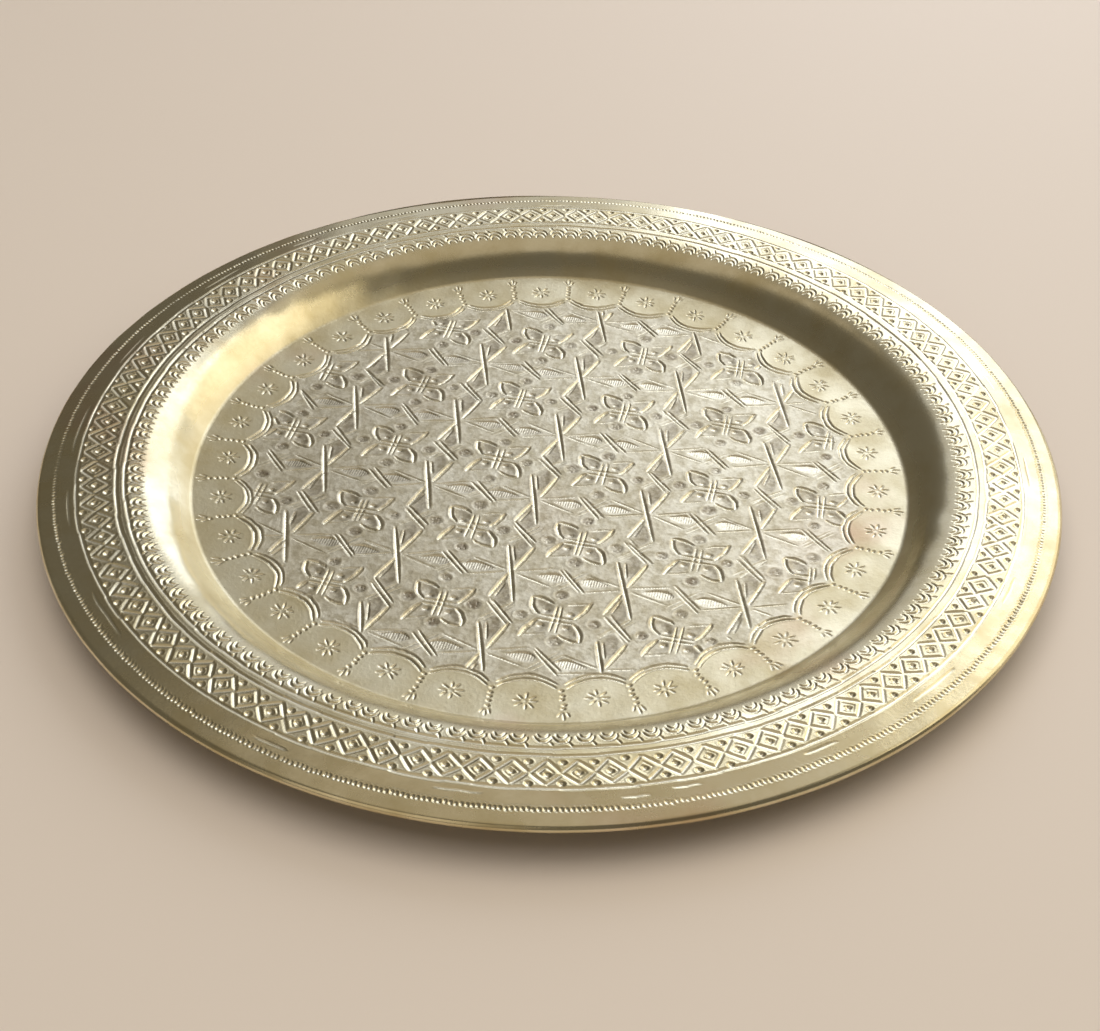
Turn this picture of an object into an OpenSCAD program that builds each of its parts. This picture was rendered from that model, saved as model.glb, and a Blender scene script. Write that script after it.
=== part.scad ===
// Round chased brass tray with a shallow well, a broad flat rim and a wired edge.
// Two pieces: the raised sheet, whose edge is rolled round a wire, and the wire.
// The origin is the centre of the face that the tray rests on, +Z is up.

/* [Tray] */
// Overall diameter, over the rolled edge
tray_d = 400; // [300:5:600]
// Thickness of the brass sheet
sheet_t = 0.8; // [0.6:0.1:1.5]

/* [Well] */
// Depth from the lip down to the middle of the floor's upper face
well_depth = 15.4; // [12:0.2:30]
// Rise of the floor from its flat middle to the foot of the wall
dish_rise = 1.8; // [0.5:0.1:3]
// Slope of the floor at the foot of the wall
dish_angle = 5; // [3:0.5:8]
// Steepness of the well's wall, from level
wall_angle = 44; // [35:1:50]
// Radius of the hollow curve where the floor turns up into the wall
foot_radius = 3; // [2:0.5:8]
// Radius of the rounded lip where the wall turns out into the rim
lip_radius = 24; // [6:1:28]

/* [Rim] */
// Width of the rim, from the lip to the outer edge
rim_w = 34; // [32:0.5:60]
// Rise of the rim from the lip to its crown
crown_rise = 1.1; // [0.5:0.1:3]
// Distance of the crown in from the outer edge
crown_in = 15; // [12:0.5:18]
// Fall of the rim from the crown to the outer edge
edge_drop = 1.3; // [0.5:0.1:3]

/* [Chased lines] */
// Width of a chased line across its top
line_w = 1.4; // [0.8:0.1:2]
// Depth to which a chased line is pressed into the sheet
line_depth = 0.35; // [0.1:0.05:0.5]
// Distance of the inner line out from the lip
inner_line_out = 1.5; // [1:0.5:6]
// Distance between the two lines of the inner pair
pair_gap = 3.6; // [2.5:0.1:5]
// Distance of the milled line in from the outer edge
milled_line_in = 7; // [5:0.5:9]

/* [Wired edge] */
// Diameter of the wire that stiffens the edge
wire_d = 1.5; // [1:0.1:3]
// Gap left between the wire and the sheet rolled round it
wire_clearance = 0.05; // [0.02:0.01:0.1]
// How far the edge is rolled, counted from the top of the rim
roll_turn = 285; // [200:5:300]

/* [Hidden] */
// Facets of a full turn, used where a curve is drawn as a circle
$fn = 96;
// Turn between two points of an arc in the outline, and of the long arc of the floor
arc_step = 5;
dish_step = 1;
// Width of the flat bottom of a chased line, as a share of its top
line_bottom = 0.2;
// How far a chased line's section is drawn past the sheet's face, so that the cut and the ridge go through it
line_past = 0.2;

tray_r = tray_d / 2;
lip_at = tray_r - rim_w;
crown_at = tray_r - crown_in;
rise_angle = atan(crown_rise / (rim_w - crown_in));
fall_angle = atan(edge_drop / crown_in);
floor_z = sheet_t;
lip_z = floor_z + well_depth;

// Floor and wall: flat middle, long arc, hollow curve, straight slope and rounded lip, tangent to each other.
dish_radius = dish_rise / (1 - cos(dish_angle));
slope_length = (well_depth - dish_rise - foot_radius * (cos(dish_angle) - cos(wall_angle))
    - lip_radius * (cos(rise_angle) - cos(wall_angle))) / sin(wall_angle);
assert(slope_length > 0, "the wall's two curves need a deeper well, smaller radii or a lower wall angle");
wall_run = foot_radius * (sin(wall_angle) - sin(dish_angle)) + slope_length * cos(wall_angle)
    + lip_radius * (sin(wall_angle) - sin(rise_angle));
floor_edge = lip_at - wall_run;
dish_centre = [floor_edge - dish_radius * sin(dish_angle), floor_z + dish_radius];
foot_centre = [floor_edge - foot_radius * sin(dish_angle), floor_z + dish_rise + foot_radius * cos(dish_angle)];
lip_centre = [lip_at + lip_radius * sin(rise_angle), lip_z - lip_radius * cos(rise_angle)];

// Crown of the rim, on the upper face and on the lower face.
crown_top = [crown_at, lip_z + crown_rise];
crown_under = [crown_at, crown_top[1] - sheet_t / cos((rise_angle + fall_angle) / 2)];

// Roll: the sheet turns outwards and down, then back under the rim.
roll_radius = wire_d / 2 + wire_clearance + sheet_t;
roll_start = 90 - fall_angle;
roll_end = roll_start - roll_turn;
roll_r = tray_r - roll_radius;
roll_top_r = roll_r + roll_radius * cos(roll_start);
roll_top_z = crown_top[1] - (roll_top_r - crown_at) * tan(fall_angle);
roll_centre = [roll_r, roll_top_z - roll_radius * sin(roll_start)];

// Points of an arc round centre c, from angle a0 to angle a1, both ends included.
function arc(c, r, a0, a1, step = arc_step) =
    let (n = ceil(abs(a1 - a0) / step))
    [for (i = [0:n]) let (a = a0 + (a1 - a0) * i / n) c + r * [cos(a), sin(a)]];

// Height of the rim's upper face at radius r.
function rim_z(r) = r < crown_at
    ? crown_top[1] - (crown_at - r) * tan(rise_angle)
    : crown_top[1] - (r - crown_at) * tan(fall_angle);

// Outline of the sheet: out along the upper face, round the roll, back underneath.
module sheet_outline() {
    polygon(concat(
        [[0, 0], [0, floor_z]],
        arc(dish_centre, dish_radius, -90, dish_angle - 90, dish_step),
        arc(foot_centre, foot_radius, dish_angle - 90, wall_angle - 90),
        arc(lip_centre, lip_radius, 90 + wall_angle, 90 + rise_angle),
        [crown_top],
        arc(roll_centre, roll_radius, roll_start, roll_end),
        arc(roll_centre, roll_radius - sheet_t, roll_end, roll_start),
        [crown_under],
        arc(lip_centre, lip_radius - sheet_t, 90 + rise_angle, 90 + wall_angle),
        arc(foot_centre, foot_radius + sheet_t, wall_angle - 90, dish_angle - 90),
        arc(dish_centre, dish_radius + sheet_t, dish_angle - 90, -90, dish_step)
    ));
}

// Height of the rim's lower face at radius r.
function under_z(r) = rim_z(r) - sheet_t / cos(r < crown_at ? rise_angle : fall_angle);

// Ring of tapered section at radius r: full width from the height z up, narrow at z - line_depth.
module line_ring(r, z) {
    rotate_extrude()
        translate([r, z])
            polygon([
                [-line_w / 2, line_past], [-line_w / 2, 0], [-line_w * line_bottom / 2, -line_depth],
                [line_w * line_bottom / 2, -line_depth], [line_w / 2, 0], [line_w / 2, line_past]
            ]);
}

// Radii of the chased lines: the inner pair, the line on the crown and the milled line.
lines = [lip_at + inner_line_out, lip_at + inner_line_out + pair_gap, crown_at, tray_r - milled_line_in];

// The raised sheet: floor, wall, rim and rolled edge. A chased line is a groove above and a ridge below.
module tray_sheet() {
    color([0.72, 0.62, 0.36])
        difference() {
            union() {
                rotate_extrude() sheet_outline();
                for (r = lines) line_ring(r, under_z(r));
            }
            for (r = lines) line_ring(r, rim_z(r));
        }
}

// The wire hidden in the rolled edge.
module rim_wire() {
    color([0.45, 0.43, 0.40])
        rotate_extrude()
            translate(roll_centre)
                circle(d = wire_d);
}

tray_sheet();
rim_wire();
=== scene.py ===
import bpy
import numpy as np
from mathutils import Matrix, Vector


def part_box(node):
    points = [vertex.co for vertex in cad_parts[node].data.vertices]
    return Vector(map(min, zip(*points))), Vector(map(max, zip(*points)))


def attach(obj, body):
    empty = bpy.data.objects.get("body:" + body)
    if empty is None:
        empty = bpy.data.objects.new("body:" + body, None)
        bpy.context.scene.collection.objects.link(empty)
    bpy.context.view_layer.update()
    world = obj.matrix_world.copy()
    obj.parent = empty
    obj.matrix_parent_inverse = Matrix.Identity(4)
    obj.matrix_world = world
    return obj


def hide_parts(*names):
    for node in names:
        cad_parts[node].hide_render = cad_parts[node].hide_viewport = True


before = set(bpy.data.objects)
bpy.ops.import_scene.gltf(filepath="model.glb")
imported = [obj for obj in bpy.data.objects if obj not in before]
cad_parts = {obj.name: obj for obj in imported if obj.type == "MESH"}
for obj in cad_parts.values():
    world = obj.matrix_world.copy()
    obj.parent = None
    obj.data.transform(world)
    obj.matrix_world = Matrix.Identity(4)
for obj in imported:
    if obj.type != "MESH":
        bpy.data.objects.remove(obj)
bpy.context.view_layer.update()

# ---------------------------------------------------------------------------
# The eye: someone standing at the table, looking down across the tray at
# about 38 degrees, a little to the right of its centre line.
EYE = Vector((0.1063, -0.5091, 0.4048))
LOOKED_AT = Vector((0.0067, -0.0304, 0.0008))
HEAD_TILT = np.radians(0.96)
LENS = 52.95

eye = bpy.data.objects.new("eye", bpy.data.cameras.new("eye"))
eye.data.lens = LENS
eye.data.sensor_width = 36.0
turn = (LOOKED_AT - EYE).to_track_quat("-Z", "Y").to_matrix().to_4x4()
eye.matrix_world = Matrix.Translation(EYE) @ turn @ Matrix.Rotation(HEAD_TILT, 4, "Z")
bpy.context.scene.collection.objects.link(eye)
bpy.context.scene.camera = eye

# ---------------------------------------------------------------------------
# The tray's sheet: one round blank of brass, raised into a shallow well with a broad rim. Its section: a
# floor that turns up a little, a tight foot, a sloping wall, a long lip, a rim with a crown and a rolled
# edge.
# Lengths are in millimetres until a mesh is made.
MM = 0.001
outer_r = round(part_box("tray_sheet")[1].x / MM)
SHEET = 0.8
FLOOR_Z = SHEET
WALL_ANGLE = np.radians(44)
FOOT = 3.0
LIP = 24.0
DISH_RISE = 1.8
DISH_ANGLE = np.radians(5)
RIM = 34.0
CROWN_IN = 15.0
CROWN_RISE = 1.1
EDGE_DROP = 1.3
WELL = 15.4
WIRE_ROOM = 0.8
ROLL_TURN = np.radians(285)

rise = np.arctan(CROWN_RISE / (RIM - CROWN_IN))
fall = np.arctan(EDGE_DROP / CROWN_IN)
lip_r = outer_r - RIM
lip_z = FLOOR_Z + WELL
crown = np.array([outer_r - CROWN_IN, lip_z + CROWN_RISE])
dish_radius = DISH_RISE / (1 - np.cos(DISH_ANGLE))
foot_rise = FOOT * (np.cos(DISH_ANGLE) - np.cos(WALL_ANGLE))
lip_rise = LIP * (np.cos(rise) - np.cos(WALL_ANGLE))
slope = (WELL - DISH_RISE - foot_rise - lip_rise) / np.sin(WALL_ANGLE)
foot_run = FOOT * (np.sin(WALL_ANGLE) - np.sin(DISH_ANGLE))
lip_run = LIP * (np.sin(WALL_ANGLE) - np.sin(rise))
floor_r = lip_r - foot_run - slope * np.cos(WALL_ANGLE) - lip_run
flat_r = floor_r - dish_radius * np.sin(DISH_ANGLE)
foot_z = FLOOR_Z + DISH_RISE + FOOT * np.cos(DISH_ANGLE)
foot_centre = np.array([floor_r - FOOT * np.sin(DISH_ANGLE), foot_z])
lip_centre = np.array([lip_r + LIP * np.sin(rise), lip_z - LIP * np.cos(rise)])
roll_radius = WIRE_ROOM + SHEET
roll_start = np.pi / 2 - fall
roll_r = outer_r - roll_radius
roll_z = crown[1] - (roll_r + roll_radius * np.cos(roll_start) - crown[0]) * np.tan(fall)
roll_centre = np.array([roll_r, roll_z - roll_radius * np.sin(roll_start)])


def arc(centre, radius, start, stop, count):
    """Points of a circle: centre + radius * (cosine, sine) of evenly spaced angles, start to stop."""
    angle = np.linspace(start, stop, count)
    return centre + radius * np.stack([np.cos(angle), np.sin(angle)], 1)


def evenly(points, count):
    """The same line with count points, evenly spaced along its length."""
    along = np.concatenate([[0], np.cumsum(np.hypot(*np.diff(points, axis=0).T))])
    place = np.linspace(0, along[-1], count)
    return np.stack([np.interp(place, along, points[:, k]) for k in (0, 1)], 1)


ARC_POINTS = 40


def wall_line(thickness):
    """Section of the wall from the floor to the lip, for the face that lies thickness below the upper
    one: the hollow arc of the foot and the arc of the lip, ARC_POINTS each, whose tangents meet in the
    straight slope between them."""
    foot_ends = DISH_ANGLE - np.pi / 2, WALL_ANGLE - np.pi / 2
    lip_ends = np.pi / 2 + WALL_ANGLE, np.pi / 2 + rise
    foot = arc(foot_centre, FOOT + thickness, *foot_ends, ARC_POINTS)
    lip = arc(lip_centre, LIP - thickness, *lip_ends, ARC_POINTS)
    return np.concatenate([foot, lip])


crown_under = crown - [0, SHEET / np.cos((rise + fall) / 2)]

# ---------------------------------------------------------------------------
# The chasing: every mark is one blow or one run of a hardened punch, driven into
# the front of the sheet on a bed of pitch. Straight liners cut V-shaped strokes,
# round punches leave small hollows, and the metal they push aside stands up
# as a slight shoulder. The marks are laid into a raster of heights first.
rng = np.random.default_rng(41)


class ChasedField:
    """Heights of a sheet's face on a raster, in mm, on which punches leave marks.
    A flat field measures x and y. A ring field measures x along a circle of radius around, y as the
    radius, and joins its ends."""

    def __init__(self, x0, x1, y0, y1, pitch, around=0.0):
        self.x0, self.y0, self.around = x0, y0, around
        self.nx = int(round((x1 - x0) / pitch)) + (0 if around else 1)
        self.ny = int(round((y1 - y0) / pitch)) + 1
        self.px = (x1 - x0) / (self.nx if around else self.nx - 1)
        self.py = (y1 - y0) / (self.ny - 1)
        self.pressed = np.zeros((self.ny, self.nx))
        self.raised = np.zeros((self.ny, self.nx))
        self.ribbed = np.zeros((self.ny, self.nx))
        self.stained = np.zeros((self.ny, self.nx))

    def around_box(self, xs, ys, reach):
        """The raster's places within reach of a box, and their x and y."""
        first = int((min(ys) - reach - self.y0) / self.py)
        last = int((max(ys) + reach - self.y0) / self.py) + 1
        rows = np.arange(max(first, 0), min(last, self.ny - 1) + 1)
        first = int(np.floor((min(xs) - reach - self.x0) / self.px))
        last = int(np.ceil((max(xs) + reach - self.x0) / self.px))
        cols = np.arange(first, last + 1)
        if not self.around:
            cols = cols[(cols >= 0) & (cols < self.nx)]
        x, y = np.meshgrid(self.x0 + cols * self.px, self.y0 + rows * self.py)
        return np.ix_(rows, cols % self.nx), x, y

    def liner(self, path, width, depth, taper=0.3, shoulder=0.14):
        """A stroke along a path: depth * (1 - distance / half width), where the half width and the depth
        swell from nothing at both ends as (4 t (1 - t)) ** taper. The shoulder of pushed metal is highest
        at 1.15 half widths and falls off as a bell curve on both sides of that."""
        path = np.asarray(path, float)
        stretch = path[:, 1].mean() / self.around if self.around else 1.0
        where, x, y = self.around_box(path[:, 0], path[:, 1], width / stretch)
        legs = np.hypot(np.diff(path[:, 0]) * stretch, np.diff(path[:, 1]))
        starts = np.concatenate([[0], np.cumsum(legs)])
        nearest = np.full(x.shape, np.inf)
        t = np.zeros(x.shape)
        for a, b, leg, start in zip(path[:-1], path[1:], legs, starts):
            ux, uy = (b[0] - a[0]) * stretch, b[1] - a[1]
            dx, dy = (x - a[0]) * stretch, y - a[1]
            along = np.clip((dx * ux + dy * uy) / leg ** 2, 0, 1)
            away = np.hypot(dx - along * ux, dy - along * uy)
            closer = away < nearest
            nearest = np.where(closer, away, nearest)
            t = np.where(closer, (start + along * leg) / starts[-1], t)
        swell = (4 * t * (1 - t) + 1e-6) ** taper
        half = width / 2 * swell
        mark = depth * swell * np.clip(1 - nearest / half, 0, 1)
        lifted = shoulder * depth * swell * np.exp(-((nearest - 1.15 * half) / (0.35 * width)) ** 2 * 4)
        self.pressed[where] = np.minimum(self.pressed[where], -mark)
        self.raised[where] = np.maximum(self.raised[where], lifted)

    def punch(self, x, y, across, along, depth, turn=0.0, shoulder=0.14):
        """An oval hollow: depth * (1 - d^2), where d is the distance over the oval's own radius in that
        direction. across and along are its two radii, turn is its turn from x. The shoulder is a bell
        curve of d, highest at d = 1.2."""
        stretch = y / self.around if self.around else 1.0
        where, px, py = self.around_box([x], [y], 1.6 * max(across, along) / stretch)
        dx, dy = (px - x) * stretch, py - y
        u = (dx * np.cos(turn) + dy * np.sin(turn)) / across
        v = (dy * np.cos(turn) - dx * np.sin(turn)) / along
        d = np.hypot(u, v)
        mark = depth * np.clip(1 - d ** 2, 0, 1)
        lifted = shoulder * depth * np.exp(-((d - 1.2) / 0.22) ** 2)
        self.pressed[where] = np.minimum(self.pressed[where], -mark)
        self.raised[where] = np.maximum(self.raised[where], lifted)

    def stain(self, x, y, across, along, strength, turn=0.0):
        """Darkening in an oval: old polish, and in the flowers' petals painted shade. strength * 1.4 (1 -
        d^4) up to strength, d as for a punch.
        """
        where, px, py = self.around_box([x], [y], max(across, along))
        u = ((px - x) * np.cos(turn) + (py - y) * np.sin(turn)) / across
        v = ((py - y) * np.cos(turn) - (px - x) * np.sin(turn)) / along
        left = strength * np.clip(1.4 * (1 - (u ** 2 + v ** 2) ** 2), 0, 1)
        self.stained[where] = np.maximum(self.stained[where], left)

    def at(self, values, x, y):
        """Values of the raster at x and y, blended between its four nearest places."""
        u = (x - self.x0) / self.px
        v = np.clip((y - self.y0) / self.py, 0, self.ny - 1.001)
        if not self.around:
            u = np.clip(u, 0, self.nx - 1.001)
        i, j = np.floor(v).astype(int), np.floor(u).astype(int)
        fv, fu = v - i, u - j
        j, k = j % self.nx, (j + 1) % self.nx
        return ((values[i, j] * (1 - fu) + values[i, k] * fu) * (1 - fv)
                + (values[i + 1, j] * (1 - fu) + values[i + 1, k] * fu) * fv)

    def height(self):
        """The face's height: the marks, and the shoulders where no mark runs."""
        return self.pressed + self.raised * (self.pressed > -0.03)


def bend(start, stop, bulge, count=7):
    """A curved path from start to stop: the straight line plus bulge * 4 t (1 - t) to its left."""
    start, stop = np.asarray(start, float), np.asarray(stop, float)
    t = np.linspace(0, 1, count)[:, None]
    left = np.array([start[1] - stop[1], stop[0] - start[0]])
    left = left / np.hypot(*left)
    return start + (stop - start) * t + left * bulge * 4 * t * (1 - t)


def blurred(values, reach, closed):
    """Mean of the raster in a square of 2 * reach + 1 places, worked out from running sums."""
    for axis in (0, 1):
        mode = "wrap" if closed and axis == 1 else "edge"
        pad = [(reach + 1, reach) if k == axis else (0, 0) for k in (0, 1)]
        total = np.cumsum(np.pad(values, pad, mode=mode), axis=axis)
        length = values.shape[axis]
        later = np.take(total, np.arange(length) + 2 * reach + 1, axis=axis)
        values = (later - np.take(total, np.arange(length), axis=axis)) / (2 * reach + 1)
    return values


# The floor's pattern repeats on a square lattice. Stars stand on one set of its
# points and four-petalled flowers half a step away. All places below are in
# steps of the lattice, which is 44 mm.
STEP = 44.0
FIELD_R = 2.73 * STEP
MARGIN = 3.0
floor_field = ChasedField(-150, 150, -150, 150, 0.15)


def by_hand(path, spread=0.35):
    """The path with each point as far off as a craftsman's hand and eye leave it, in mm."""
    return np.asarray(path, float) + rng.normal(0, spread, (len(path), 2))


def on_floor(path, width, depth, taper=0.3, limit=FIELD_R):
    """A stroke of the lattice, stopped where the border of scallops begins."""
    path = np.asarray(path, float)
    fine = evenly(path, 24)
    inside = np.hypot(fine[:, 0], fine[:, 1]) < limit
    if inside.all():
        floor_field.liner(path, width, depth, taper)
    elif inside.sum() > 6:
        floor_field.liner(fine[inside], width, depth, taper)


def star(x, y):
    """Two long crossed strokes, the sides of four narrow kites that point at them, one short stroke
    inside each upright kite, and a ribbed leaf in each level one."""
    here = np.array([x, y]) * STEP + rng.normal(0, 0.5, 2)

    def put(*points):
        """A path from here, given in steps."""
        return by_hand(here + np.array(points) * STEP)

    on_floor(put((-0.13, 0.34), (0.10, -0.36)), 2.1, 0.64)
    on_floor(put((0.12, 0.36), (0.012, 0.03)), 2.1, 0.62)
    on_floor(put((-0.012, -0.03), (-0.12, -0.35)), 2.1, 0.62)
    on_floor(put((-0.055, 0.33), (-0.018, 0.14)), 1.5, 0.44)
    on_floor(put((-0.022, -0.14), (-0.065, -0.33)), 1.5, 0.46)
    for side in (-1, 1):
        for end in (-1, 1):
            on_floor(put((0.04 * side, 0.012 * end), (0.36 * side, 0.115 * end)), 1.2, 0.28)
            on_floor(put((0.11 * side, 0.37 * end), (0.015 * side, 0.48 * end)), 1.2, 0.24)
        middle = here + np.array([0, 0.30 * side]) * STEP
        if np.hypot(*middle) < FIELD_R - MARGIN:
            floor_field.punch(*middle, 2.6, 6.0, 0.10, 0, 0)
            floor_field.stain(*middle, 3.2, 6.5, 0.5)
        leaf(here + np.array([0.295 * side, 0.0]) * STEP + rng.normal(0, 0.5, 2) * (2, 0.6), side)


def leaf(centre, side):
    """A pointed hollow 12 mm long, blunt away from the star. Across it, the depth grows evenly from the
    near side to three quarters of the width, then returns, as a liner leaves it that is held aslant.
    Ribs are struck across it, and some old polish stays between them."""
    if np.hypot(*centre) > FIELD_R - MARGIN:
        return
    long, half = rng.uniform(0.125, 0.15) * STEP, 0.066 * STEP
    where, x, y = floor_field.around_box([centre[0]], [centre[1]], long + 1)
    t = (x - centre[0]) / long * side
    edge = half * np.clip(1 - t ** 2, 0, 1) ** 0.8 * (1 + 0.45 * t)
    v = (y - centre[1]) / np.maximum(edge, 0.01)
    inside = (np.abs(t) < 1) & (np.abs(v) < 1)
    across = np.minimum((1 + v) / 1.75, (1 - v) / 0.25) * inside
    mark = 0.38 * across * (0.3 + 0.7 * edge / half)
    floor_field.pressed[where] = np.minimum(floor_field.pressed[where], -mark)
    ribs = np.clip(4 * across, 0, 1)
    floor_field.ribbed[where] = np.maximum(floor_field.ribbed[where], ribs)
    floor_field.stained[where] = np.maximum(floor_field.stained[where], 0.35 * ribs)


def crossing(x, y):
    """Two deep parallel strokes falling to the right, crossed by two faint ones, where neighbouring
    kites meet."""
    here = np.array([x, y]) * STEP + rng.normal(0, 0.4, 2)
    for way, depth in ((-1, 0.52), (1, 0.20)):
        reach = np.array([0.12, 0.125 * way]) * STEP
        off = np.array([0.125 * way, -0.12]) * 0.115 * STEP
        for side in (-1, 1):
            shift = reach * rng.uniform(-0.15, 0.15)
            ends = here + shift - reach + off * side, here + shift + reach + off * side
            on_floor(by_hand(ends), 1.5, depth)


def flower(x, y):
    """A cross of double strokes with a petal in each corner. Two opposite petals are closed leaves,
    hollowed by two round blows. The other two are only a deep stroke that flares out and a faint one. Every
    petal's hollow gets painted shade, darker in the closed ones."""
    here = np.array([x, y]) * STEP + rng.normal(0, 0.5, 2)

    def put(*points):
        """A path from here, given in steps."""
        return by_hand(here + np.array(points) * STEP, 0.25)

    for side in (-1, 1):
        on_floor(put((0.024 * side, -0.16), (0.024 * side, 0.16)), 1.4, 0.52)
        on_floor(put((-0.15, 0.028 * side), (0.15, 0.028 * side)), 1.4, 0.52)
        for end in (-1, 1):
            closed = side * end < 0
            tip = np.array([0.243 * side, 0.235 * end]) * STEP + here
            root = np.array([0.150 * side, 0.030 * end]) * STEP + here
            top = np.array([0.055 * side, 0.178 * end]) * STEP + here
            middle = here + np.array([0.128 * side, 0.125 * end]) * STEP
            if np.hypot(*middle) > FIELD_R:
                continue
            if closed:
                on_floor(by_hand(bend(root, tip, 1.3), 0.1), 2.3, 0.66)
                on_floor(by_hand(bend(top, tip, -0.8), 0.1), 2.0, 0.60)
            else:
                flared = tip + (tip - root) * rng.uniform(0, 0.16)
                on_floor(by_hand(bend(root, flared, -0.4), 0.1), 2.4, 0.68)
                on_floor(by_hand(bend(top, tip, 0.3), 0.1), 1.3, 0.26)
            outward = np.pi / 4 * side * end
            floor_field.punch(*middle, 4.8, 3.1, 0.34 if closed else 0.20, outward, 0.0)
            # Painted shade in the petal's hollow, stronger in the closed petals.
            floor_field.stain(*middle, 4.6, 3.2, 0.4 if closed else 0.25, outward)
            dimple = here + np.array([0.100 * side, 0.092 * end]) * STEP + rng.normal(0, 0.3, 2)
            floor_field.punch(*dimple, 2.0, 1.7, 0.50, 0, 0.05)


PITS = 7


def matted_dot(x, y):
    """A shallow round hollow, dark with old polish, that one blow of a matting punch has filled with
    small pits, spread evenly over its area: the distance out grows as the root of an even draw."""
    here = np.array([x, y]) * STEP + rng.normal(0, 0.8, 2)
    if np.hypot(*here) > FIELD_R - MARGIN:
        return
    size = rng.uniform(0.85, 1.15)
    floor_field.punch(*here, 2.7 * size, 2.5 * size, 0.15, 0, 0.5)
    floor_field.stain(*here, 2.7 * size, 2.5 * size, rng.uniform(0.55, 0.85))
    for _ in range(PITS):
        turn = rng.uniform(0, 2 * np.pi)
        out = 1.7 * np.sqrt(rng.uniform(0, 1)) * size
        floor_field.punch(here[0] + out * np.cos(turn), here[1] + out * np.sin(turn), 0.6, 0.6, 0.26)


for row in (-2.5, -1.5, -0.5, 0.5, 1.5, 2.5):
    for column in range(-2, 3):
        if np.hypot(column, row) < 2.75:
            star(column, row)
for row in np.arange(-2.5, 2.6, 0.5):
    for column in np.arange(-2.5, 2.6, 0.5):
        if np.hypot(column, row) > 2.72:
            continue
        if row % 1 == column % 1:
            crossing(column, row)
        elif row % 1 == 0:
            flower(column, row)
            for dx, dy in ((0, 0.28), (0, -0.28), (0.3, 0), (-0.3, 0)):
                matted_dot(column + dx, row + dy)

# The border of the floor: 33 scallops of double line, a line of dots between
# each two that ends in a small sprig, and an eight-stroke rosette in each.
SCALLOPS = 33
PETALS = 8
FIRST_LINE = 0.5


def polar(degrees, radius):
    """The floor's x and y at an angle and at a radius in steps."""
    angle = np.radians(degrees)
    return np.stack([np.cos(angle) * radius, np.sin(angle) * radius], -1) * STEP


for k in range(SCALLOPS):
    line = FIRST_LINE + 360 / SCALLOPS * k + rng.normal(0, 0.15)
    middle = line + 180 / SCALLOPS
    t = np.linspace(-1, 1, 11)
    for sag, reach in ((2.77, 4.7), (2.725, 4.9)):
        ring = polar(middle + t * reach, sag + 0.105 * np.abs(t) ** 2.2 + rng.normal(0, 0.004))
        floor_field.liner(by_hand(ring, 0.12), 1.75, 0.56, 0.2)
    turn = np.radians(line)
    for radius in np.arange(2.895, 3.13, 0.052):
        spot = by_hand([polar(line, radius)], 0.2)[0]
        floor_field.punch(*spot, 0.78, 1.05, 0.42, turn)
    for lean in (-1, 0, 1):
        tail = polar(line + lean * 0.35, 3.135)
        tip = polar(line + lean * 0.85, 3.20 + 0.03 * (lean == 0))
        floor_field.liner(by_hand((tail, tip), 0.2), 1.3, 0.36)
    centre = polar(middle + rng.normal(0, 0.25), 2.995 + rng.normal(0, 0.012))
    floor_field.punch(*centre, 1.3, 1.3, 0.16, 0, 0)
    start = rng.uniform(0, np.pi / 4)
    for petal in range(PETALS):
        angle = start + petal * np.pi / 4 + rng.normal(0, 0.08)
        way = np.array([np.cos(angle), np.sin(angle)]) * STEP
        floor_field.liner(by_hand((centre + way * 0.030, centre + way * 0.100), 0.15), 1.2, 0.40)

# Inside the scallops the ground is matted: peened all over by a blunt grainy punch,
# whose grains are about 1 mm across and leave marks a few hundredths of a mm deep.
GRIT_DEPTH = 0.014
grit = blurred(blurred(rng.normal(0, 1, floor_field.pressed.shape), 3, False), 3, False)
grit = GRIT_DEPTH * grit / grit.std()

# The rim's ornament, from the lip outwards: arches struck twice, a pair of
# lines, a band of lozenges, the line on the crown, and a milled line near the
# edge, all struck by eye round the ring, so that no two marks are quite alike.
RING = 180.0
CHASED_FROM = 157.0
rim_field = ChasedField(0, 2 * np.pi * RING, CHASED_FROM - 2, outer_r, 0.14, around=RING)


def on_rim(degrees, radius):
    """The ring field's x and y at an angle and at a radius in mm."""
    degrees, radius = np.broadcast_arrays(degrees, radius)
    return np.stack([np.radians(degrees) * RING, radius], -1)


ARCHES = 142
for k in range(ARCHES):
    step = 360 / ARCHES
    middle = step * (k + rng.normal(0, 0.06))
    size = rng.normal(1, 0.08)
    lift = rng.normal(0, 0.2)
    bow = np.array([-1, -0.92, -0.7, -0.38, 0, 0.38, 0.7, 0.92, 1])
    for half, foot, top, width in ((0.41, 161.4, 164.8, 1.45), (0.27, 160.0, 162.5, 1.35)):
        up = lift + foot + (top - foot) * np.sqrt(1 - bow ** 2)
        rim_field.liner(by_hand(on_rim(middle + bow * half * step, up), 0.08), width, 0.46 * size, 0.25)
    dart = on_rim(middle + step * np.array([0.28, 0.46]), np.array([164.4, 166.8]) + lift)
    rim_field.liner(by_hand(dart, 0.18), 1.3, 0.36 * size, 0.4)

# The lines are run in lengths of 3 to 6 degrees, each a little off the last. The
# inner pair was drawn from a centre 0.8 mm off to one side.
OFF_CENTRE = 0.8
for radius, depth, width in ((167.6, 0.38, 1.7), (171.2, 0.34, 1.6), (184.9, 0.38, 1.7)):
    degrees = 0.0
    while degrees < 360:
        length = rng.uniform(3.2, 5.6)
        ends = np.array([degrees - 0.35, degrees + length / 2, degrees + length + 0.35])
        astray = OFF_CENTRE * np.cos(np.radians(ends - 50)) if radius < RING else 0
        drawn = radius + astray + rng.normal(0, 0.14) + rng.normal(0, 0.05, 3)
        rim_field.liner(on_rim(ends, drawn), width, depth * rng.normal(1, 0.10), 0.10)
        degrees += length

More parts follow.
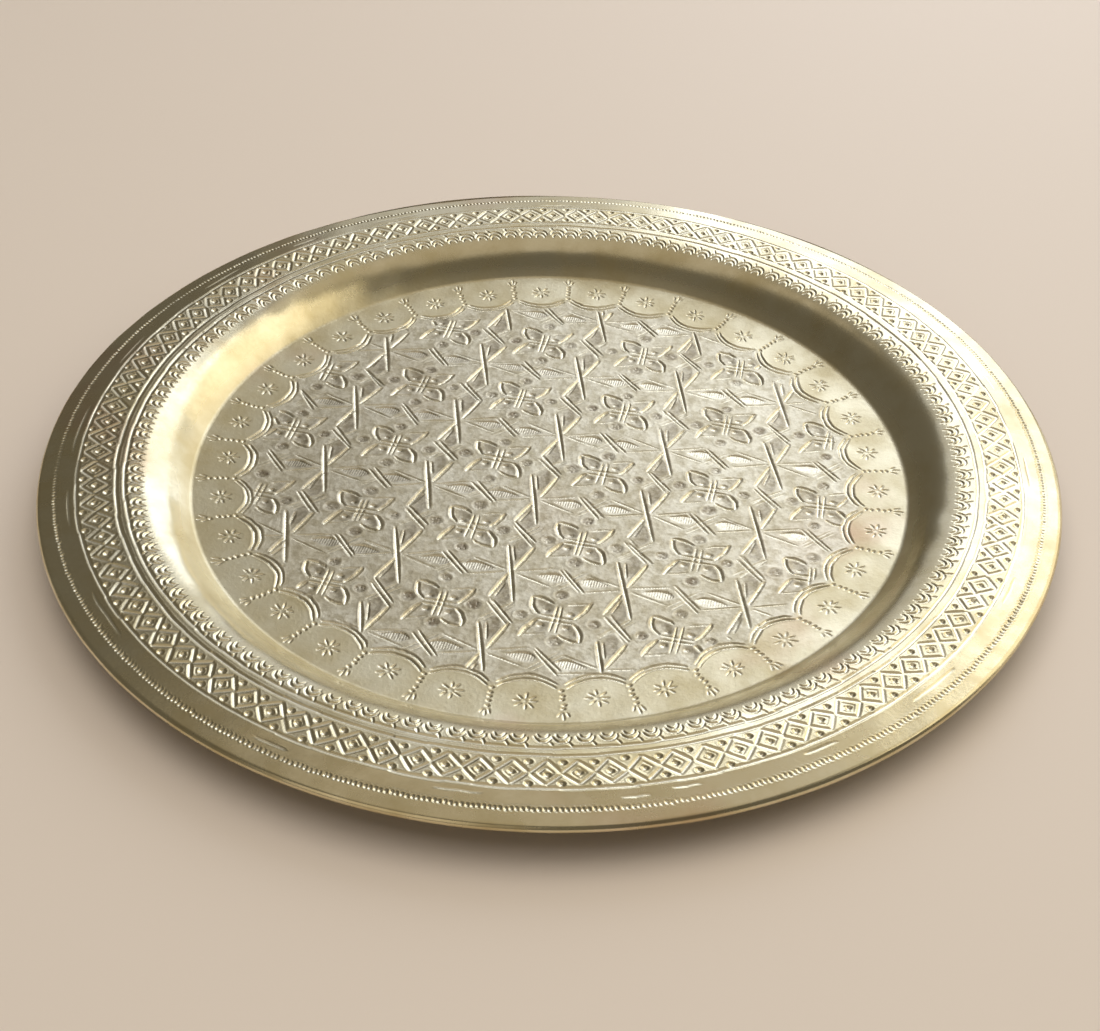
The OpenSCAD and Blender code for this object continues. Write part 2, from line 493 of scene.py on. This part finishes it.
LOZENGES = 106
MIDDLE_R, LOW_R, TOP_R = 178.0, 172.6, 183.4
for k in range(LOZENGES):
    step = 360 / LOZENGES
    middle = step * (k + rng.normal(0, 0.04))
    high = MIDDLE_R + rng.normal(0, 0.25)
    left, right = middle - step / 2, middle + step / 2
    for end in (left, right):
        for top in (LOW_R, TOP_R):
            corners = on_rim(np.array([end, middle]), np.array([high, top]))
            rim_field.liner(by_hand(corners, 0.18), 2.1, 0.30 * rng.normal(1, 0.15), 0.12)
            inner = corners * 0.46 + on_rim(middle, high) * 0.54
            rim_field.liner(by_hand(inner, 0.12), 1.4, 0.19 * rng.normal(1, 0.15), 0.15)
    rim_field.punch(*by_hand([on_rim(middle, high)], 0.25)[0], 1.4, 1.3, 0.62)
    for spot in (173.7, 183.0):
        rim_field.punch(*by_hand([on_rim(right, spot)], 0.25)[0], 1.35, 1.2, 0.58)

# Loose strokes of the liner in the plain strip outside the crown, from and to in degrees.
for start, stop in ((187, 197), (204, 211), (223, 231), (252, 256), (271, 276), (289, 292), (294, 297),
                    (23, 28), (36, 44), (58, 63), (77, 83), (99, 104), (121, 129), (138, 142), (151, 158),
                    (171, 178), (308, 312), (322, 329), (341, 346), (3, 9)):
    radius = rng.uniform(187.4, 189.4)
    path = on_rim(np.linspace(start, stop, 5), radius + rng.normal(0, 0.12, 5))
    rim_field.liner(path, 1.4, 0.26, 0.3)

# The milled line: a bead punch run round in a fine groove, about 700 marks. Its
# blows grow and fade a few times round the ring.
MILLED = 700
ANY_PHASE = (0.0, 6.28)
mark_angle = np.arange(MILLED) * 2 * np.pi / MILLED
strength = sum(np.sin(mark_angle * wave + rng.uniform(*ANY_PHASE)) for wave in (3, 7, 11, 19))
for k in range(MILLED):
    spot = by_hand([on_rim(360 / MILLED * k, 192.9)], 0.1)[0]
    deep = 0.36 * np.clip(1 + 0.16 * strength[k] + rng.normal(0, 0.12), 0.35, 1.5)
    rim_field.punch(*spot, 0.76, 0.95, deep, 0, 0.25)

# ---------------------------------------------------------------------------
# Nothing raised by hammer is quite true: the whole sheet sways by a few tenths
# of a millimetre, more on the wall and the rim than on the floor.
WAVE_HEIGHT = 0.05
RIPPLE_HEIGHT = 0.010
waves = [(rng.integers(2, 9), rng.uniform(*ANY_PHASE), rng.uniform(0.02, 0.07), rng.uniform(*ANY_PHASE))
         for _ in range(10)]
ripples = [(rng.integers(16, 60), rng.uniform(*ANY_PHASE), rng.uniform(0.1, 0.35), rng.uniform(*ANY_PHASE))
           for _ in range(14)]


def sway(angle, radius):
    """Sum of sines of the angle, each shifting its phase with the radius: slow waves that fade out
    towards the centre, and small quick ripples from the floor's border outwards."""
    slow = sum(WAVE_HEIGHT * np.sin(n * angle + p + radius * q + r) for n, p, q, r in waves)
    quick = sum(RIPPLE_HEIGHT * np.sin(n * angle + p + radius * q + r) for n, p, q, r in ripples)
    return slow * np.clip(radius / 150, 0, 1) ** 3 + quick * np.clip((radius - 120) / 25, 0, 1)


def dish(radius):
    """Height of the floor above its flat middle: R - (R^2 - d^2) ** 0.5, where R is the radius of its
    long arc and d the distance beyond the flat part."""
    return dish_radius - np.sqrt(dish_radius ** 2 - np.clip(radius - flat_r, 0, None) ** 2)


def disc(count, radius):
    """A square grid bent to a disc of equal cells: the square ring at distance s from the middle becomes
    the circle of radius s, and the place along its side becomes the angle."""
    a, b = np.meshgrid(np.linspace(-1, 1, count + 1), np.linspace(-1, 1, count + 1), indexing="ij")
    wide = np.abs(a) > np.abs(b)
    s = np.where(wide, a, b)
    share = np.where(wide, b, a) / np.where(s == 0, 1, s)
    angle = np.where(wide, share * np.pi / 4, np.pi / 2 - share * np.pi / 4)
    return s * radius * np.cos(angle), s * radius * np.sin(angle)


def normals(points, closed=False):
    """Unit normals of a grid of points: the cross product of its steps along rows and along columns."""
    down = np.gradient(points, axis=0)
    if closed:
        along = (np.roll(points, -1, axis=1) - np.roll(points, 1, axis=1)) / 2
    else:
        along = np.gradient(points, axis=1)
    normal = np.cross(down, along)
    return normal / np.linalg.norm(normal, axis=-1, keepdims=True)


def mesh_object(name, points, point_normals, faces, fields):
    """A smooth mesh in metres from points, their normals, and arrays of faces that may differ in how
    many corners they have. fields are the values, one per point, that its material reads."""
    mesh = bpy.data.meshes.new(name)
    sizes = np.concatenate([np.full(len(f), f.shape[1]) for f in faces])
    corners = np.concatenate([f.ravel() for f in faces]).astype(np.int32)
    mesh.vertices.add(len(points))
    mesh.vertices.foreach_set("co", (points * MM).astype(np.float32).ravel())
    mesh.loops.add(len(corners))
    mesh.loops.foreach_set("vertex_index", corners)
    mesh.polygons.add(len(sizes))
    mesh.polygons.foreach_set("loop_start", (np.cumsum(sizes) - sizes).astype(np.int32))
    mesh.polygons.foreach_set("use_smooth", np.ones(len(sizes), bool))
    mesh.update(calc_edges=True)
    mesh.validate()
    mesh.normals_split_custom_set_from_vertices(point_normals)
    for key, values in fields.items():
        field = mesh.attributes.new(key, "FLOAT", "POINT")
        field.data.foreach_set("value", values.astype(np.float32).ravel())
    made = bpy.data.objects.new(name, mesh)
    bpy.context.scene.collection.objects.link(made)
    return made


def shell(name, top, bottom):
    """A closed piece between two grids of points, the lower with half as many columns. Each grid is a
    dictionary of arrays: place, normal, and the fields of its material."""
    upper = np.arange(top["hollow"].size).reshape(top["hollow"].shape)
    lower = np.arange(bottom["hollow"].size).reshape(bottom["hollow"].shape) + upper.size

    def squares(grid):
        """Faces of four corners, one for each cell of a grid of point numbers."""
        return np.stack([grid[:-1, :-1], grid[1:, :-1], grid[1:, 1:], grid[:-1, 1:]], -1).reshape(-1, 4)

    def join(over, below):
        """Faces from a border of the upper grid to the one below it: five corners each where two of its
        steps meet one of the lower, or all the points as one flat face where they don't match."""
        if len(over) == 2 * len(below) - 1:
            return np.stack([over[:-2:2], over[1:-1:2], over[2::2], below[1:], below[:-1]], -1)
        return np.concatenate([over, below[::-1]])[None]

    faces = [squares(upper), squares(lower)[:, ::-1],
             join(upper[0], lower[0]), join(upper[-1, ::-1], lower[-1, ::-1]),
             join(upper[::-1, 0], lower[::-1, 0]), join(upper[:, -1], lower[:, -1])]
    values = {key: np.concatenate([top[key].reshape(upper.size, -1), bottom[key].reshape(lower.size, -1)])
              for key in top}
    place, normal = values.pop("place"), values.pop("normal")
    return mesh_object(name, place, normal, faces, values)


def cut(grid, rows, cols):
    """The part of a grid in those rows and columns; columns wrap round."""
    return {key: np.take(values[rows], cols, axis=1, mode="wrap") for key, values in grid.items()}


# A place's hollow is how far it lies below the mean of the 3 mm around it: the material lightens the
# strokes by it, partly burnish and partly painted highlight, and darkens the deepest with painted shade.
floor_height = floor_field.height()
floor_hollow = floor_height - blurred(floor_height, 10, False)
rim_height = rim_field.height()
rim_hollow = rim_height - blurred(rim_height, 10, True)

# The floor, in six blocks that meet edge to edge: one solid sheet, parted only to
# keep each mesh light. The underside shows the marks faintly, pushed through.
FLOOR_CELLS = 648
GHOST = 0.45
x, y = disc(FLOOR_CELLS, floor_r)
radius, angle = np.hypot(x, y), np.arctan2(y, x)
# The bloom of the matted ground ends at the scallops' sagging line, over 3 mm.
share = ((np.degrees(angle) - FIRST_LINE) % (360 / SCALLOPS)) / (180 / SCALLOPS) - 1
ground = np.clip(((2.75 + 0.10 * np.abs(share) ** 2.2) * STEP - radius) / 3 + 0.5, 0, 1)
chased = floor_field.at(floor_height, x, y)
peened = floor_field.at(grit, x, y) * (0.15 + 0.85 * ground)
ribbed = floor_field.at(floor_field.ribbed, x, y)
floor_top = {
    "place": np.stack([x, y, FLOOR_Z + dish(radius) + chased + peened + sway(angle, radius)], -1),
    "hollow": floor_field.at(floor_hollow, x, y),
    "matting": (0.75 + 0.25 * ground) * (1 - ribbed),
    "bloom": ground,
    "ribbed": ribbed,
    "stained": floor_field.at(floor_field.stained, x, y),
}
floor_top["normal"] = normals(floor_top["place"])
# The lower face follows the dish's slope, so it reaches a little further out than the upper.
low = np.clip(SHEET / 4 + GHOST * chased, 0, None) * (radius < floor_r - 1) + dish(radius)
spread = 1 + SHEET * np.clip(radius - flat_r, 0, None) / dish_radius / np.maximum(radius, 1)
floor_under = {"place": np.stack([x * spread, y * spread, low], -1)[::2, ::2]}
floor_under["normal"] = -normals(floor_under["place"])
for key in ("hollow", "matting", "bloom", "ribbed", "stained"):
    floor_under[key] = np.zeros(floor_under["place"].shape[:2])

brass_pieces = []
for i in range(2):
    for j in range(3):
        rows, cols = FLOOR_CELLS // 2, FLOOR_CELLS // 3
        top = cut(floor_top, slice(i * rows, (i + 1) * rows + 1),
                  np.arange(j * cols, (j + 1) * cols + 1))
        under = cut(floor_under, slice(i * rows // 2, (i + 1) * rows // 2 + 1),
                    np.arange(j * cols // 2, (j + 1) * cols // 2 + 1))
        brass_pieces.append(shell(f"tray_floor_{3 * i + j + 1}", top, under))

# The wall, rim and rolled edge, in six sectors. The edge is turned out and
# under round a wire, which stiffens it and leaves no sharp rim.
COLUMNS = 2880
SECTORS = 6
MAT_FADE = 6.0
FOOT_PART = slice(0, ARC_POINTS)
SLOPE_PART = slice(ARC_POINTS - 1, ARC_POINTS + 1)
LIP_PART = slice(ARC_POINTS, None)
roll_top = roll_centre + arc(0, roll_radius, roll_start, 0, 2)[0]
upper = np.concatenate([
    evenly(wall_line(0)[FOOT_PART], 7)[:-1],
    evenly(wall_line(0)[SLOPE_PART], 6)[:-1],
    evenly(wall_line(0)[LIP_PART], 37)[:-1],
    evenly(np.array([[lip_r, lip_z], crown, roll_top]), 72)[:-1],
])
rolled = arc(roll_centre, roll_radius, roll_start, roll_start - ROLL_TURN, 13)
inside = arc(roll_centre, WIRE_ROOM, roll_start - ROLL_TURN, roll_start, 9)
under_line = np.concatenate([
    evenly(wall_line(SHEET)[FOOT_PART], 6)[:-1],
    evenly(wall_line(SHEET)[SLOPE_PART], 4)[:-1],
    evenly(wall_line(SHEET)[LIP_PART], 18)[:-1],
    evenly(np.array([[lip_r, lip_z - SHEET], crown_under, inside[-1]]), 36),
])
wall_part = np.concatenate([upper, rolled[:3]])
edge_part = np.concatenate([under_line, inside[::-1][1:], rolled[::-1][:-1]])


def swept(line, columns, side, marks):
    """The line carried round the axis: (r cos a, r sin a, z), pushed along its own normal by the sway
    and, times marks, by the chasing. side is 1 where the line's left is the outer face."""
    slope_r, slope_z = np.gradient(line, axis=0).T
    length = np.hypot(slope_r, slope_z)
    lean = side * np.stack([-slope_z, slope_r], 1) / length[:, None]
    angle = np.arange(columns) * 2 * np.pi / columns
    radius = np.repeat(line[:, :1], columns, axis=1)
    turn = np.broadcast_to(angle, radius.shape)
    on_ring = (radius > CHASED_FROM) & (radius < roll_r)
    chased = np.where(on_ring, rim_field.at(rim_height, turn * RING, radius), 0)
    up = side * (sway(turn, radius) + marks * chased)
    r = radius + lean[:, :1] * up
    z = np.maximum(line[:, 1:] + lean[:, 1:] * up, 0)
    grid = {"place": np.stack([r * np.cos(turn), r * np.sin(turn), z], -1)}
    grid["normal"] = side * normals(grid["place"], closed=True)
    grid["hollow"] = np.where(on_ring, rim_field.at(rim_hollow, turn * RING, radius), 0) * (side > 0)
    grid["matting"] = np.clip((floor_r + MAT_FADE - radius) / MAT_FADE, 0, 0.75) * (side > 0)
    for key in ("bloom", "ribbed", "stained"):
        grid[key] = np.zeros_like(radius)
    return grid


wall_top = swept(wall_part, COLUMNS, 1, 1.0)
wall_under = swept(edge_part, COLUMNS // 2, -1, GHOST)
for k in range(SECTORS):
    width = COLUMNS // SECTORS
    top = cut(wall_top, slice(0, len(wall_part) - 1), np.arange(k * width, (k + 1) * width + 1))
    under = cut(wall_under, slice(0, len(edge_part)),
                np.arange(k * width // 2, (k + 1) * width // 2 + 1))
    brass_pieces.append(shell(f"tray_rim_{k + 1}", top, under))


def srgb(code):
    """Linear colour of a six-digit hex code."""
    parts = np.array([int(code[k:k + 2], 16) for k in (1, 3, 5)]) / 255
    return (*np.where(parts > 0.04045, ((parts + 0.055) / 1.055) ** 2.4, parts / 12.92), 1.0)


def add(tree, kind, inputs=None, **settings):
    """Adds a node of that kind. settings are its own properties; inputs are its sockets' values or
    links, by the socket's name or place."""
    made = tree.nodes.new(kind)
    for key, value in settings.items():
        setattr(made, key, value)
    for key, value in (inputs or {}).items():
        if isinstance(value, bpy.types.NodeSocket):
            tree.links.new(value, made.inputs[key])
        else:
            made.inputs[key].default_value = value
    return made


def empty_material(name):
    """A new material with only a Principled shader and its output."""
    material = bpy.data.materials.new(name)
    material.use_nodes = True
    return material, material.node_tree, material.node_tree.nodes["Principled BSDF"]


# Aged brass, about two parts copper to one of zinc, polished once and then used for years: the strokes
# lightened, partly burnish and partly painted highlight, painted shade at the bottom of the deepest
# strokes, dulled to a grey bloom on the matted ground, with a few pinkish stains.
# COLOUR makes a Mix node mix colours; the numbers are the places of its sockets then.
COLOUR, FIRST, SECOND, BLENDED = "RGBA", 6, 7, 2
aged_brass, tree, skin = empty_material("aged_chased_brass")
place = add(tree, "ShaderNodeTexCoord").outputs["Object"]
hollow, matting, bloom, stained, ribbed = (
    add(tree, "ShaderNodeAttribute", attribute_name=key).outputs["Fac"]
    for key in ("hollow", "matting", "bloom", "stained", "ribbed"))
# Clouds of tarnish are 20 to 40 mm across, so 34 to the metre, and speckle is 1 to 2 mm, 700 to the metre.
cloud = add(tree, "ShaderNodeTexNoise",
            {"Vector": place, "Scale": 34.0, "Detail": 6.0, "Roughness": 0.62}).outputs[0]
speck = add(tree, "ShaderNodeTexNoise",
            {"Vector": place, "Scale": 700.0, "Detail": 3.0, "Roughness": 0.6}).outputs[0]
toned = add(tree, "ShaderNodeMapRange", {"Value": cloud, "From Min": 0.38, "From Max": 0.66}).outputs[0]
tone = add(tree, "ShaderNodeMix", {"Factor": toned, FIRST: srgb("#e4dab9"), SECOND: srgb("#cebf94")},
           data_type=COLOUR).outputs[BLENDED]
# Pinkish patches where zinc has left the surface, in a few places about 80 mm apart, 13 to the metre.
blush = add(tree, "ShaderNodeTexNoise", {"Vector": place, "Scale": 13.0, "Detail": 3.0}).outputs[0]
blush = add(tree, "ShaderNodeMapRange",
            {"Value": blush, "From Min": 0.58, "From Max": 0.74, "To Max": 0.55}).outputs[0]
tone = add(tree, "ShaderNodeMix", {"Factor": blush, FIRST: tone, SECOND: srgb("#c99f85")},
           data_type=COLOUR).outputs[BLENDED]
# The bloom is a thin pale powder, mottled in flecks of about 4 mm, 230 to the metre.
bloom = add(tree, "ShaderNodeMath", {0: bloom, 1: 0.8}, operation="MULTIPLY").outputs[0]
mottle = add(tree, "ShaderNodeTexNoise",
             {"Vector": place, "Scale": 230.0, "Detail": 4.0, "Roughness": 0.7}).outputs[0]
mottle = add(tree, "ShaderNodeMapRange", {"Value": mottle, "From Min": 0.40, "From Max": 0.62}).outputs[0]
powder = add(tree, "ShaderNodeMix", {"Factor": mottle, FIRST: srgb("#ece5cf"), SECOND: srgb("#c6bca0")},
             data_type=COLOUR).outputs[BLENDED]
tone = add(tree, "ShaderNodeMix", {"Factor": bloom, FIRST: tone, SECOND: powder},
           data_type=COLOUR).outputs[BLENDED]
# The strokes are lightened towards #f0e8cc: partly the tool's burnish, partly a painted highlight for the
# glint on their flanks.
burnish_and_highlight = add(tree, "ShaderNodeMapRange", {"Value": hollow, "From Min": -0.02, "From Max": -0.12}).outputs[0]
# The leaves get 0.45 of the same lightening: a painted highlight.
leaf_highlight = add(tree, "ShaderNodeMath", {0: ribbed, 1: 0.45}, operation="MULTIPLY").outputs[0]
burnish_and_highlight = add(tree, "ShaderNodeMath", {0: burnish_and_highlight, 1: leaf_highlight}, operation="MAXIMUM").outputs[0]
tone = add(tree, "ShaderNodeMix", {"Factor": burnish_and_highlight, FIRST: tone, SECOND: srgb("#f0e8cc")},
           data_type=COLOUR).outputs[BLENDED]
# Painted shade: the bottom of the deepest strokes is darkened to olive-brown.
painted_groove_shade = add(tree, "ShaderNodeMapRange",
           {"Value": hollow, "From Min": -0.36, "From Max": -0.56, "To Max": 0.25}).outputs[0]
tone = add(tree, "ShaderNodeMix", {"Factor": painted_groove_shade, FIRST: tone, SECOND: srgb("#8b7547")},
           data_type=COLOUR).outputs[BLENDED]
# Old polish left in the matted dots and the kites, and painted shade in the flowers' petals, broken up by
# the speckle.
grime_and_shade = add(tree, "ShaderNodeMapRange",
            {"Value": speck, "From Min": 0.35, "From Max": 0.6, "To Min": 0.35}).outputs[0]
grime_and_shade = add(tree, "ShaderNodeMath", {0: grime_and_shade, 1: stained}, operation="MULTIPLY").outputs[0]
tone = add(tree, "ShaderNodeMix", {"Factor": grime_and_shade, FIRST: tone, SECOND: srgb("#7b6a50")},
           data_type=COLOUR).outputs[BLENDED]
tree.links.new(tone, skin.inputs["Base Color"])
skin.inputs["Metallic"].default_value = 1.0
# Worn polish is half as rough as the matted ground, and tarnish adds a little.
worn = add(tree, "ShaderNodeMapRange",
           {"Value": cloud, "From Min": 0.35, "From Max": 0.7, "To Min": 0.20, "To Max": 0.32}).outputs[0]
dull = add(tree, "ShaderNodeMath", {0: matting, 1: 0.22, 2: worn}, operation="MULTIPLY_ADD").outputs[0]
rough = add(tree, "ShaderNodeMix", {"Factor": burnish_and_highlight, 2: dull, 3: 0.24}).outputs[0]
tree.links.new(rough, skin.inputs["Roughness"])
# The ribs of the leaves are 1 mm apart along the leaf: a band's width is 2 pi / 20 over the scale.
ribs = add(tree, "ShaderNodeTexWave",
           {"Vector": place, "Scale": 314.0, "Distortion": 0.6, "Detail Scale": 2.0},
           wave_type="BANDS", bands_direction="X").outputs["Fac"]
ribs = add(tree, "ShaderNodeMath", {0: ribs, 1: ribbed}, operation="MULTIPLY").outputs[0]
ribs = add(tree, "ShaderNodeBump", {"Height": ribs, "Strength": 1.0, "Distance": 0.00003}).outputs[0]
# The punch's finest grain, too small for the mesh, is the speckle again as a bump of 0.22 mm.
grain = add(tree, "ShaderNodeMapRange", {"Value": matting, "To Min": 0.12, "To Max": 0.5}).outputs[0]
grain = add(tree, "ShaderNodeBump",
            {"Height": speck, "Strength": grain, "Distance": 0.00022, "Normal": ribs}).outputs[0]
tree.links.new(grain, skin.inputs["Normal"])

for piece in brass_pieces:
    piece.data.materials.append(aged_brass)
    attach(piece, "root")
    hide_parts("tray_sheet")

# ---------------------------------------------------------------------------
# The rim's wire: drawn mild steel, laid in the edge before it is rolled shut.
# It shows only as a dull line in the gap of the roll, from underneath.
drawn_steel, tree, skin = empty_material("drawn_steel_wire")
place = add(tree, "ShaderNodeTexCoord").outputs["Object"]
# Its dull patches are about 3 mm long, 300 to the metre.
rust = add(tree, "ShaderNodeTexNoise", {"Vector": place, "Scale": 300.0, "Detail": 3.0})
tint = add(tree, "ShaderNodeValToRGB", {"Fac": rust.outputs["Fac"]})
tint.color_ramp.elements[0].color = srgb("#6a6460")
tint.color_ramp.elements[1].color = srgb("#8d8781")
tree.links.new(tint.outputs["Color"], skin.inputs["Base Color"])
skin.inputs["Metallic"].default_value = 1.0
skin.inputs["Roughness"].default_value = 0.5
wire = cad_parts["rim_wire"]
wire.data.materials.clear()
wire.data.materials.append(drawn_steel)

# ---------------------------------------------------------------------------
# The room: a plain pale table top, a dim room, two soft windows behind and to
# the right with a pier between them, the first with a thin curtain beside it, a
# weak ceiling and a lamp behind the eye.
HALF_TABLE = 6.0
corners = np.array([(-1, -1, 0), (1, -1, 0), (1, 1, 0), (-1, 1, 0)]) * HALF_TABLE
table_top = bpy.data.meshes.new("table_top")
table_top.from_pydata(corners.tolist(), [], [(0, 1, 2, 3)])
table = bpy.data.objects.new("table_top", table_top)
bpy.context.scene.collection.objects.link(table)
pale, tree, skin = empty_material("pale_table")
skin.inputs["Base Color"].default_value = srgb("#e3d8cc")
skin.inputs["Roughness"].default_value = 0.6
table_top.materials.append(pale)

room = bpy.data.worlds.new("room")
room.use_nodes = True
room.node_tree.nodes["Background"].inputs["Color"].default_value = srgb("#8f897d")
room.node_tree.nodes["Background"].inputs["Strength"].default_value = 0.5
bpy.context.scene.world = room


def soft_box(name, bearing, distance, size, glow, colour):
    """An area light of that width and height, at a bearing of azimuth and elevation from the tray,
    facing it. glow is the radiance of its face, so its power is glow * pi * area."""
    lamp = bpy.data.objects.new(name, bpy.data.lights.new(name, "AREA"))
    lamp.data.shape = "RECTANGLE"
    lamp.data.size, lamp.data.size_y = size
    lamp.data.energy = glow * np.pi * size[0] * size[1]
    lamp.data.color = srgb(colour)[:3]
    a, e = np.radians(bearing)
    lamp.location = Vector((np.cos(a) * np.cos(e), np.sin(a) * np.cos(e), np.sin(e))) * distance
    lamp.rotation_euler = (-lamp.location).to_track_quat("-Z", "Y").to_euler()
    bpy.context.scene.collection.objects.link(lamp)
    return lamp


soft_box("window", (81, 27), 2.5, (1.25, 2.0), 2.1, "#e6eeff")
soft_box("far_window", (36, 30), 2.5, (2.2, 2.4), 1.5, "#fff7e4")
soft_box("curtain", (103, 28), 2.4, (0.9, 1.8), 0.6, "#eef2ff")
soft_box("ceiling", (100, 78), 2.0, (1.6, 1.6), 0.4, "#fff3e2")
soft_box("lamp", (252, 30), 2.2, (1.4, 1.4), 0.6, "#fff0dc")
# The overhead panel is for the table only: it keeps it pale under a dim room.
panel = soft_box("panel", (0, 90), 2.5, (3.0, 3.0), 1.2, "#fff6ec")
panel.visible_glossy = False
bpy.context.scene.view_settings.view_transform = "Standard"
